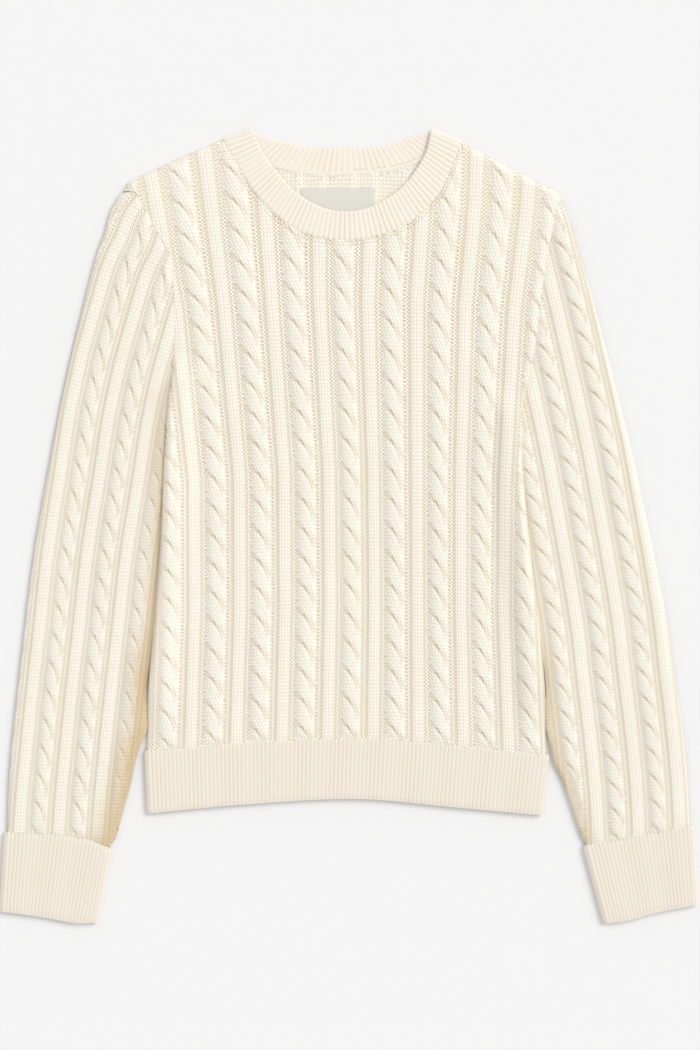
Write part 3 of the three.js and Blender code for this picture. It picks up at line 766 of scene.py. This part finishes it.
def make_back(material):
    top = body_lattice(*NETS["back"]["top"], outside=False, shift=INSIDE_SHIFT)
    under = body_lattice(*NETS["back"]["under"])
    neck = seam_line(BACK_NECK_SEAM, SEAM_TUCK)[1:-1]

    def top_height(facts):
        x, y = facts["x"], facts["y"]
        facts["purl"] = 1 - facts["purl"]
        facts["shade"] = np.zeros(x.shape)
        away, _, _, place = nearest(neck, x, y)
        facts["along"] = place / EYELETS["pitch"]
        row = (away - EYELETS["start"]) / EYELETS["height"]
        facts["row"] = np.where(row > 1, -1, row)
        relief = INSIDE_RISE * (1 - facts["purl"])
        facts["purl"] = facts["purl"] * INSIDE_PURL
        return rise_at(x, y) + BACK_TOP - INSIDE_RISE + relief

    def under_height(facts):
        x, y = facts["x"], facts["y"]
        lifted = UNDER_RELIEF * (CABLE_RISE - facts["relief"]) + UNDER_FOLDS * soft_folds(x, y, -1)
        return rise_at(x, y) + np.clip(lifted, 0, BACK_TOP / 2)

    skin = closed_skin(top, under, body_outline(neck, WRAP["inset"]), top_height, under_height)
    return add_piece("back_knit", *skin, material)


def sleeve_edge(side, count):
    """Outer edge of a sleeve from cuff to shoulder, and its length."""
    line = smooth_line([(row["x"], row["y"]) for row in SLEEVE_OUTER[side]], count)
    length = np.hypot(*np.diff(line, axis=0).T).sum()
    return line, length


def sleeve_lattice(side, per_crossing, steps):
    """Lattice of a sleeve, along its courses and wales, wider than the sleeve all round."""
    sign = sign_of(side)
    line, length = sleeve_edge(side, LINE_POINTS["sleeve"])
    made = SLEEVE_KNIT[side]
    places = np.linspace(0, length, len(line))
    pitch, growth, spare = made["pitch"], made["growth"], SLEEVE_SPAN["spare"]
    last = (math.sqrt(pitch**2 + 4 * growth * length) - pitch) / (2 * growth)
    rows = (np.arange(-spare * per_crossing, (last + spare) * per_crossing) + 0.5) / per_crossing
    s, rise = np.meshgrid(repeats_across(SLEEVE_REPEAT, steps, *SLEEVE_SPAN["cables"]), rows)
    rise = rise - crease_dip(-sign * s, SLEEVE_REPEAT)
    run = made["first"] + pitch * rise + growth * rise**2
    edge_x = np.interp(run, places, line[:, 0])
    edge_y = np.interp(run, places, line[:, 1]) + np.minimum(run, 0) + np.maximum(run - length, 0)
    inward = read(SLEEVE_OUTER[side], edge_y, "cable") + s * made["cables"]
    lean = np.radians(read(SLEEVE_OUTER[side], edge_y, "lean"))
    x = edge_x - sign * inward * np.cos(lean)
    y = edge_y - inward * np.sin(lean)
    facts = {"x": x, "y": y, **knit(-sign * s, rise, made["cables"], pitch, SLEEVE_REPEAT)}
    if side == "left":
        facts = {name: values[:, ::-1] for name, values in facts.items()}
    return unseamed(facts)


def sleeve_sides(side):
    """Outer fold of a sleeve, and its edge along the armhole and the inner fold."""
    sign = sign_of(side)
    line, _ = sleeve_edge(side, LINE_POINTS["sleeve_outline"])
    tip = SHOULDERS[side][0][1] - SLEEVE_TIP
    line = line[line[:, 1] < tip]
    heights = np.arange(tip - 1, RISE_END, -SLEEVE_EDGE_STEP)
    inner = [(read(BODY_EDGES, y, side) - sign * overlap_at(side, y), y) for y in heights]
    return line, np.array(inner + SLEEVE_INNER[side])


def make_sleeve(side, material):
    sign = sign_of(side)
    top, under, lining = (sleeve_lattice(side, *NETS["sleeve"][key]) for key in ("top", "under", "hollow"))
    outer, inner = sleeve_sides(side)
    end = smooth_line(CUFFS[side]["top"], LINE_POINTS["cuff"])
    if side == "left":
        end = end[::-1]
    end = end[1:-1]
    outline = np.array([*outer, *inner, *end[::-1]])
    if side == "right":
        outline = outline[::-1]

    def profiles(facts):
        x, y = facts["x"], facts["y"]
        fold = nearest(outer, x, y)[0]
        inner_fold = nearest(inner, x, y)[0]
        at_armhole = ease(y - UNDERARM[side], *SLEEVE_ARMHOLE)
        inner_round = edge_profile(inner_fold, FOLD_ROUND) * (1 - at_armhole)
        inner_round += seam_profile(inner_fold) * at_armhole
        return fold, inner_fold, at_armhole, edge_profile(fold, FOLD_ROUND) * inner_round

    def top_height(facts):
        fold, inner_fold, at_armhole, rounding = profiles(facts)
        x, y = facts["x"], facts["y"]
        seam = nearest(end, x, y)[0]
        cover = ease(inner_fold, *SLEEVE_RELIEF) * (1 - at_armhole) + fade(inner_fold, "armhole") * at_armhole
        relief = facts["relief"] * fade(fold, "fold") * fade(seam, "seam") * cover
        # Painted shadow of the body's edge on the sleeve beside it
        tucked = (1 - ease(inner_fold, 0, SLEEVE_TUCK_SHADOW[side]["width"])) * (1 - at_armhole)
        facts["shade"] = np.maximum(facts["shade"], SLEEVE_TUCK_SHADOW[side]["shade"] * tucked)
        lip = TUBE_MIDDLE + EDGE_LIP / 2
        top = TUBE_TOP - lip + relief + soft_folds(x, y) * ease(fold, 0, SLEEVE_FOLDS)
        return lip + top * rounding * seam_profile(seam)

    def under_height(facts):
        _, _, _, rounding = profiles(facts)
        lifted = np.clip(UNDER_RELIEF * (CABLE_RISE - facts["relief"]), 0, UNDER_MOST)
        return (TUBE_MIDDLE - EDGE_LIP / 2) * (1 - rounding) + lifted * rounding

    skin = closed_skin(top, under, outline, top_height, under_height)
    inner_lines = (moved_aside(outer, HOLLOW_INSET * sign), moved_aside(inner, HOLLOW_INSET * sign))
    within = np.array([*inner_lines[0], *inner_lines[1], *(end[::-1] + (0, 1))])
    if side == "right":
        within = within[::-1]

    def level(z):
        return lambda facts: np.full(facts["x"].shape, z)

    ceiling, ground = level(TUBE_MIDDLE + HOLLOW / 2), level(TUBE_MIDDLE - HOLLOW / 2)
    hollow = closed_skin(lining, lining, within, ceiling, ground)
    return add_piece(f"sleeve_knit_{side}", *hollowed(*skin, *hollow), material)


def rib_wave(t):
    """Round-topped rib with a narrow groove, 1 at its top and 0 in the groove."""
    from_top = np.abs(np.mod(t, 1) - 0.5) * 2
    return 1 - from_top**RIB_ROUND


def ring_sections(halves, levels):
    """Sections round a ribbed tube pressed flat: its front, a fold, its back and the other fold.

    halves give the seam, the free edge and the rib count in front and behind.
    """
    samples, fold_steps = BAND_STEPS["rib"], BAND_STEPS["fold"]
    middle = (levels["front_inner"] + levels["back_inner"]) / 2
    sections = []
    rib = 0
    for half, upwards in (("front", 1), ("back", -1)):
        seam, free, ribs = halves[half]
        steps = ribs * samples
        seam, free = smooth_line(seam, steps + 1)[::upwards], smooth_line(free, steps + 1)[::upwards]
        outer = abs(levels[half + "_outer"] - middle)
        inner = abs(levels[half + "_inner"] - middle)
        for i in range(steps + 1):
            sections.append({
                "seam": seam[i], "free": free[i], "aside": np.zeros(2), "up": upwards,
                "outer": outer, "inner": inner, "rib": rib + i / samples, "behind": half == "back",
            })
        across = free[-1] - seam[-1]
        away = np.array([abs(across[1]), -across[0] * np.sign(across[1])]) * upwards / np.hypot(*across)
        for step in range(1, fold_steps):
            turn = math.pi * step / fold_steps
            sections.append({
                "seam": seam[-1], "free": free[-1], "aside": away * math.sin(turn),
                "up": upwards * math.cos(turn), "outer": outer, "inner": inner,
                "rib": rib + ribs + step / fold_steps, "behind": False,
            })
        rib += ribs + 1
    return middle, sections


def uneven(rib, turn):
    """Factor that varies from rib to rib."""
    return 1 + RIB_ENDS["uneven"] * math.sin(turn * rib)


def rib_section(part, length, steps, linked):
    """Places along one section of a band, its outer and inner levels there, and its shade."""
    wave = rib_wave(part["rib"])
    share = RIB_ENDS["least"] + (1 - RIB_ENDS["least"]) * wave
    reach = RIB_ENDS["reach"] * uneven(part["rib"], RIB_ENDS["reach_turn"]) * share
    even = np.linspace(-reach / length, 1, steps)
    spread = np.array([even[0], even[:2].mean(), *even[1:-1], even[-2:].mean(), even[-1]])
    from_free = (1 - spread) * length + RIB_ENDS["end_wall"]
    from_seam = spread * length + reach + RIB_ENDS["end_wall"]
    rounding = edge_profile(from_free, RIB_ENDS["free_round"])
    rounding *= edge_profile(from_seam, RIB_ENDS["seam_round"])
    top = np.full(len(spread), wave)
    line = np.zeros(len(spread))
    if linked and part["behind"]:
        ridge = np.clip(from_seam / LINK_RIDGE["width"], 0, 1)
        smooth = 1 - ease(ridge, LINK_RIDGE["blend"], 1)
        # Painted shade line along the edge of the ridge
        past_line = (ridge - LINK_LINE["at"]) * LINK_RIDGE["width"]
        line = LINK_LINE["shade"] * bell(past_line, LINK_LINE["width"]) * (ridge < 1)
        rounded = LINK_RIDGE["base"] + LINK_RIDGE["rise"] * np.sin(math.pi * ridge)
        top = top * (1 - smooth) + rounded * smooth
    half_way = (part["outer"] + part["inner"]) / 2
    wall = half_way - part["inner"]
    outside = half_way + (wall + RIB_RISE * top) * rounding
    within = half_way - (wall + RIB_INNER * RIB_RISE * top) * rounding
    # Painted shade in the grooves between the ribs
    groove = RIB_ENDS["groove"] * uneven(part["rib"], RIB_ENDS["groove_turn"])
    return spread, outside, within, np.clip(1 - top, 0, 1) * groove + line


def make_band(name, halves, levels, material, steps=BAND_STEPS["along"], linked=False):
    """Mesh of a ribbed band; a linked one has a smooth ridge along the seam of its back half."""
    middle, sections = ring_sections(halves, levels)
    facts = {key: [] for key in ("x", "y", "z", "wale", "course", "purl", "shade", "along", "row")}
    for part in sections:
        across = part["free"] - part["seam"]
        length = math.hypot(*across)
        spread, outside, within, shade = rib_section(part, length, steps, linked)
        for radius, order in ((outside, 1), (within, -1)):
            radius, row = radius[::order], spread[::order]
            place = part["seam"] + across * row[:, None] + part["aside"] * radius[:, None]
            facts["x"] += place[:, 0].tolist()
            facts["y"] += place[:, 1].tolist()
            facts["z"] += np.maximum(middle + part["up"] * radius, 0).tolist()
            facts["course"] += (row * length / RIB_COURSE).tolist()
            facts["shade"] += shade[::order].tolist()
        for key, value in (("wale", part["rib"]), ("purl", 0.0), ("along", 0.0), ("row", -1.0)):
            facts[key] += [value] * 2 * len(spread)
    facts = {key: np.array(values) for key, values in facts.items()}
    size = len(facts["x"]) // len(sections)
    faces = []
    for i in range(len(sections)):
        here, there = i * size, (i + 1) % len(sections) * size
        for k in range(size):
            after = (k + 1) % size
            faces.append((here + k, there + k, there + after, here + after))
    return add_piece(name, facts, faces, material)


def make_label(material):
    """Blank woven label inside the back of the neck."""
    right, left, bottom, top = (LABEL[key] for key in ("right", "left", "bottom", "top"))
    x, y = np.meshgrid(np.linspace(right, left, LABEL_NET[0]), np.linspace(bottom, top, LABEL_NET[1]))
    blank = {key: np.zeros(x.shape) for key in ("purl", "shade")}
    lattice = unseamed({"x": x, "y": y, "wale": x - right, "course": y - bottom, **blank})
    outline = np.array([(right, bottom), (left, bottom), (left, top), (right, top)])

    def over(facts):
        edge = np.minimum(facts["x"] - right, left - facts["x"])
        edge = np.minimum(edge, top - facts["y"])
        share = LABEL_EDGE["share"] + (1 - LABEL_EDGE["share"]) * ease(edge, 0, LABEL_EDGE["width"])
        return LABEL["level"] + LABEL["wall"] * share

    def under(facts):
        return np.full(facts["x"].shape, LABEL["level"])

    return add_piece("label_tape", *closed_skin(lattice, lattice, outline, over, under), material)


# Colour of each wool, depth of its stitches, and how strong the painted shade in the hollows of its knit and
# purl is
WOOLS = {
    "cable_knit": {"colour": (0.915, 0.895, 0.83), "depth": 0.42, "knit": 0.26, "purl": 1.5},
    # The rib and neck wools are the same yarn as the cable knit, painted darker as shade that their flatter
    # ribs do not cast
    "rib_knit": {"colour": (0.78, 0.735, 0.665), "depth": 0.12, "knit": 0.08, "purl": 0.3},
    "neck_rib": {"colour": (0.835, 0.79, 0.715), "depth": 0.12, "knit": 0.06, "purl": 0.3},
}
# Colour of the painted shade in the wool
WOOL_SHADOW = (0.62, 0.47, 0.27)

# Stitches: their middle, how a V's yarn is rounded, how far a zigzag swings and how narrow its line is
MIDDLE = 0.5
STITCH = {"yarn_round": 3.0, "swing": 1.5, "narrow": 4.2}

# Noises of the wool: unsteady yarn, broad tone and fibres
YARN = {"scale": 260.0, "detail": 2.0, "strength": 0.25}
TONE = {"scale": 22.0, "detail": 2.0, "strength": 0.12}
FIBRE = {"scale": 1400.0, "detail": 3.0, "strength": 0.4}

# Strength of the painted shade that the points carry, in creases, grooves and beside edges, and of the
# painted shade in the eyelet holes
SHADE_DARK = 0.85
EYELET_SHADE = 0.8

WOOL_SURFACE = {
    "Roughness": 0.95,
    "Specular IOR Level": 0.2,
    "Sheen Weight": 0.35,
    "Sheen Roughness": 0.6,
    "Sheen Tint": (1.0, 0.97, 0.90, 1.0),
}

# Label: colour, share of it left in the hollows of its weave as painted shade, thread, and two rows of
# stitching
LABEL_COLOUR = (0.70, 0.685, 0.63)
LABEL_HOLLOW = 0.93
LABEL_THREAD = (0.62, 0.56, 0.44)
LABEL_STITCHING = (1.2, 3.0)
STITCHING = {"per_mm": 0.4, "gap": 0.25, "half_width": 0.35}
WEAVE = {"scale": 420.0, "distortion": 0.4, "bump": 0.5, "depth": 0.12, "roughness": 0.6}

FLOOR_LIGHT = (0.80, 0.805, 0.825)
FLOOR_DARK = (0.78, 0.785, 0.805)
FLOOR = {"reach": 3.0, "scale": 900.0, "detail": 2.0, "roughness": 0.9}

KEY_LIGHT = {"width": 32, "energy": 1.6, "colour": (1.0, 0.995, 0.985), "turn": (-26, 42, 0)}
SKY = {"colour": (1.0, 0.985, 0.955, 1), "strength": 0.82}

# Photograph in pixels, the pixel at the middle of the tables, and its scale; the lens is in millimetres
PHOTO = {"width": 700, "height": 1050, "middle": (350.5, 524.5), "scale": 0.87}
LENS = 85.0
SENSOR = 36.0

# Sockets of a Mix node for colours: its factor and two colours, and its result
COLOUR_MIX = {"inputs": (0, 6, 7), "output": 2}


class Nodes:
    """Short-hand for building a node tree."""

    def __init__(self, material):
        self.tree = material.node_tree

    def feed(self, socket, value):
        """Link a socket, or set its number or its colour."""
        if isinstance(value, bpy.types.NodeSocket):
            self.tree.links.new(value, socket)
        elif socket.type == "RGBA" and len(value) == 3:
            socket.default_value = (*value, 1)
        else:
            socket.default_value = value

    def put(self, node, name, value):
        self.feed(node.inputs[name], value)

    def add(self, kind, **inputs):
        node = self.tree.nodes.new(kind)
        for name, value in inputs.items():
            self.put(node, name, value)
        return node

    def math(self, operation, *values, clamp=False):
        node = self.tree.nodes.new("ShaderNodeMath")
        node.operation = operation
        node.use_clamp = clamp
        for socket, value in zip(node.inputs, values):
            self.feed(socket, value)
        return node.outputs[0]

    def mix(self, factor, a, b):
        """Number between two others."""
        return self.add("ShaderNodeMix", Factor=factor, A=a, B=b).outputs["Result"]

    def mix_colour(self, factor, a, b):
        node = self.tree.nodes.new("ShaderNodeMix")
        node.data_type = "RGBA"
        for index, value in zip(COLOUR_MIX["inputs"], (factor, a, b)):
            self.feed(node.inputs[index], value)
        return node.outputs[COLOUR_MIX["output"]]

    def value(self, name):
        """One of the numbers that the points of a mesh carry."""
        node = self.tree.nodes.new("ShaderNodeAttribute")
        node.attribute_name = name
        return node.outputs["Fac"]

    def axes(self, uv_map):
        """Both numbers of a UV map."""
        place = self.add("ShaderNodeUVMap")
        place.uv_map = uv_map
        split = self.add("ShaderNodeSeparateXYZ", Vector=place.outputs["UV"])
        return split.outputs["X"], split.outputs["Y"]

    def noise(self, where, made):
        node = self.add("ShaderNodeTexNoise", Vector=where, Scale=made["scale"], Detail=made["detail"])
        return node.outputs["Fac"]

    def swing(self, where, made):
        """Noise round zero."""
        return self.math("MULTIPLY", self.math("SUBTRACT", self.noise(where, made), MIDDLE), made["strength"])


def new_material(name):
    """Material with its nodes and its surface shader."""
    material = bpy.data.materials.new(name)
    material.use_nodes = True
    n = Nodes(material)
    return material, n, n.tree.nodes["Principled BSDF"]


def stitch_height(n, wale, course, purl):
    """Height of the stitches: a column of V's in knit, bumps between two upright zigzags in purl."""
    across = n.math("FRACT", wale)
    leg = n.math("ABSOLUTE", n.math("SUBTRACT", across, MIDDLE))
    knit_phase = n.math("FRACT", n.math("SUBTRACT", course, leg))
    ridge = n.math("SINE", n.math("MULTIPLY", knit_phase, math.pi))
    yarn = n.math("POWER", n.math("MULTIPLY", leg, 2.0), STITCH["yarn_round"])
    yarn = n.math("SUBTRACT", 1.0, yarn)
    knit_stitch = n.math("MULTIPLY", ridge, yarn)
    zigzag = n.math("ABSOLUTE", n.math("SUBTRACT", n.math("FRACT", course), MIDDLE))
    zigzag = n.math("MULTIPLY", n.math("SUBTRACT", zigzag, MIDDLE / 2), STITCH["swing"])
    line = n.math("ABSOLUTE", n.math("SUBTRACT", n.math("SUBTRACT", across, MIDDLE), zigzag))
    purl_stitch = n.math("MULTIPLY", line, STITCH["narrow"], clamp=True)
    return n.mix(purl, knit_stitch, purl_stitch)


def eyelet(n):
    """Rows of small holes along a seam."""
    along, row = n.axes("seam")
    past, before = n.math("GREATER_THAN", row, 0.0), n.math("LESS_THAN", row, EYELETS["rows"])
    in_rows = n.math("MULTIPLY", past, before)
    along = n.math("ADD", along, n.math("MULTIPLY", row, EYELETS["stagger"]))
    dx = n.math("SUBTRACT", n.math("FRACT", along), MIDDLE)
    dy = n.math("SUBTRACT", n.math("FRACT", row), MIDDLE)
    away = n.math("SQRT", n.math("ADD", n.math("MULTIPLY", dx, dx), n.math("MULTIPLY", dy, dy)))
    hole = n.math("SUBTRACT", 1.0, n.math("MULTIPLY", away, EYELETS["narrow"], clamp=True))
    return n.math("MULTIPLY", hole, in_rows)


def wool_material(name):
    """Soft wool whose stitches follow the knit coordinates; painted shade makes the hollows, creases and
    eyelets warmer and darker.
    """
    made = WOOLS[name]
    material, n, surface = new_material(name)
    wale, course = n.axes("knit")
    where = n.add("ShaderNodeTexCoord").outputs["Object"]
    drift = n.swing(where, YARN)
    purl = n.value("purl")
    stitches = stitch_height(n, n.math("ADD", wale, drift), n.math("ADD", course, drift), purl)
    hole = eyelet(n)
    # Painted shade in the hollows of the stitches, stronger in purl
    hollow = n.math("SUBTRACT", 1.0, stitches, clamp=True)
    strength = n.math("ADD", made["knit"], n.math("MULTIPLY", purl, made["purl"] - made["knit"]))
    dark = n.math("MULTIPLY", hollow, strength)
    # Painted shade in the creases, grooves and beside edges, and in the eyelet holes
    dark = n.math("ADD", dark, n.math("MULTIPLY", n.value("shade"), SHADE_DARK))
    dark = n.math("ADD", dark, n.math("MULTIPLY", hole, EYELET_SHADE))
    dark = n.math("ADD", dark, n.swing(where, TONE), clamp=True)
    n.put(surface, "Base Color", n.mix_colour(dark, made["colour"], WOOL_SHADOW))
    fibres = n.math("MULTIPLY", n.noise(where, FIBRE), FIBRE["strength"])
    height = n.math("SUBTRACT", n.math("ADD", stitches, fibres), hole)
    bump = n.add("ShaderNodeBump", Height=height, Strength=1.0, Distance=made["depth"] * METRE)
    n.put(surface, "Normal", bump.outputs["Normal"])
    for socket, value in WOOL_SURFACE.items():
        n.put(surface, socket, value)
    return material


def label_material():
    """Fine plain weave with two rows of stitching down one margin."""
    material, n, surface = new_material("label_weave")
    right, up = n.axes("knit")
    where = n.add("ShaderNodeTexCoord").outputs["Object"]
    waves = {"Vector": where, "Scale": WEAVE["scale"], "Distortion": WEAVE["distortion"]}
    warp = n.add("ShaderNodeTexWave", **waves)
    weft = n.add("ShaderNodeTexWave", **waves)
    weft.bands_direction = "Y"
    weave = n.math("MULTIPLY", warp.outputs["Fac"], weft.outputs["Fac"])
    dash = n.math("FRACT", n.math("MULTIPLY", up, STITCHING["per_mm"]))
    dash = n.math("GREATER_THAN", dash, STITCHING["gap"])
    thread = 0.0
    for margin in LABEL_STITCHING:
        line = LABEL["left"] - LABEL["right"] - margin
        away = n.math("ABSOLUTE", n.math("SUBTRACT", right, line))
        stitched = n.math("MULTIPLY", n.math("LESS_THAN", away, STITCHING["half_width"]), dash)
        thread = n.math("MAXIMUM", thread, stitched)
    # Painted shade in the hollows of the weave
    cloth = n.mix_colour(weave, tuple(LABEL_HOLLOW * part for part in LABEL_COLOUR), LABEL_COLOUR)
    n.put(surface, "Base Color", n.mix_colour(thread, cloth, LABEL_THREAD))
    height = n.math("SUBTRACT", weave, thread)
    depth = WEAVE["depth"] * METRE
    bump = n.add("ShaderNodeBump", Height=height, Strength=WEAVE["bump"], Distance=depth)
    n.put(surface, "Normal", bump.outputs["Normal"])
    n.put(surface, "Roughness", WEAVE["roughness"])
    return material


def floor_material():
    material, n, surface = new_material("paper")
    where = n.add("ShaderNodeTexCoord").outputs["Object"]
    grain = n.noise(where, FLOOR)
    n.put(surface, "Base Color", n.mix_colour(grain, FLOOR_DARK, FLOOR_LIGHT))
    n.put(surface, "Roughness", FLOOR["roughness"])
    return material


body_wool = wool_material("cable_knit")
rib_wool = wool_material("rib_knit")
neck_wool = wool_material("neck_rib")

front = make_front(body_wool)
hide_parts("front_panel")

back = make_back(body_wool)
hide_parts("back_panel")

for side in SIDES:
    sleeve = make_sleeve(side, body_wool)
    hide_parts(f"sleeve_{side}")
    lines = (CUFFS[side]["top"], CUFFS[side]["opening"], RIBS["cuff"])
    cuff = make_band(f"cuff_knit_{side}", {"front": lines, "back": lines}, TUBE_LEVELS, rib_wool)
    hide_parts(f"cuff_{side}")

lines = (HEM_TOP, HEM_BOTTOM, RIBS["hem"])
hem = make_band("hem_knit", {"front": lines, "back": lines}, TUBE_LEVELS, rib_wool)
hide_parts("hem_rib")

neck_lines = {
    "front": (FRONT_NECK_SEAM, FRONT_NECK_FREE, RIBS["front_neck"]),
    "back": (BACK_NECK_SEAM, BACK_NECK_FREE, RIBS["back_neck"]),
}
steps = BAND_STEPS["neck_along"]
neckband = make_band("neckband_knit", neck_lines, NECK_LEVELS, neck_wool, steps, linked=True)
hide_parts("neckband")

label = make_label(label_material())
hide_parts("neck_label")

meshes = [thing for thing in bpy.context.collection.objects if thing.type == "MESH"]
for piece in meshes:
    if piece.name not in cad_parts:
        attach(piece, "root")


def place_object(name, data):
    thing = bpy.data.objects.new(name, data)
    bpy.context.collection.objects.link(thing)
    return thing


def add_floor():
    mesh = bpy.data.meshes.new("floor")
    far = FLOOR["reach"]
    mesh.from_pydata([(-far, -far, 0), (far, -far, 0), (far, far, 0), (-far, far, 0)], [], [(0, 1, 2, 3)])
    mesh.materials.append(floor_material())
    place_object("floor", mesh)


def add_light():
    """Soft key light from the upper right, and an even sky."""
    light = bpy.data.lights.new("key", "SUN")
    light.angle = math.radians(KEY_LIGHT["width"])
    light.energy = KEY_LIGHT["energy"]
    light.color = KEY_LIGHT["colour"]
    key = place_object("key", light)
    key.rotation_euler = [math.radians(turn) for turn in KEY_LIGHT["turn"]]
    world = bpy.data.worlds.new("sky")
    world.use_nodes = True
    background = world.node_tree.nodes["Background"]
    background.inputs["Color"].default_value = SKY["colour"]
    background.inputs["Strength"].default_value = SKY["strength"]
    bpy.context.scene.world = world


def add_camera():
    """Camera straight above the middle of the photograph."""
    camera = bpy.data.cameras.new("camera")
    camera.lens = LENS
    camera.sensor_width = SENSOR
    camera.sensor_fit = "AUTO"
    eye = place_object("camera", camera)
    scale = PHOTO["scale"]
    x = (PHOTO["width"] / 2 - PHOTO["middle"][0]) * scale + ORIGIN[0]
    y = (PHOTO["middle"][1] - PHOTO["height"] / 2) * scale + ORIGIN[1]
    height = PHOTO["height"] * scale * LENS / SENSOR
    eye.location = (x * METRE, y * METRE, height * METRE)
    bpy.context.scene.camera = eye


add_floor()
add_light()
add_camera()
bpy.context.scene.view_settings.view_transform = "Standard"
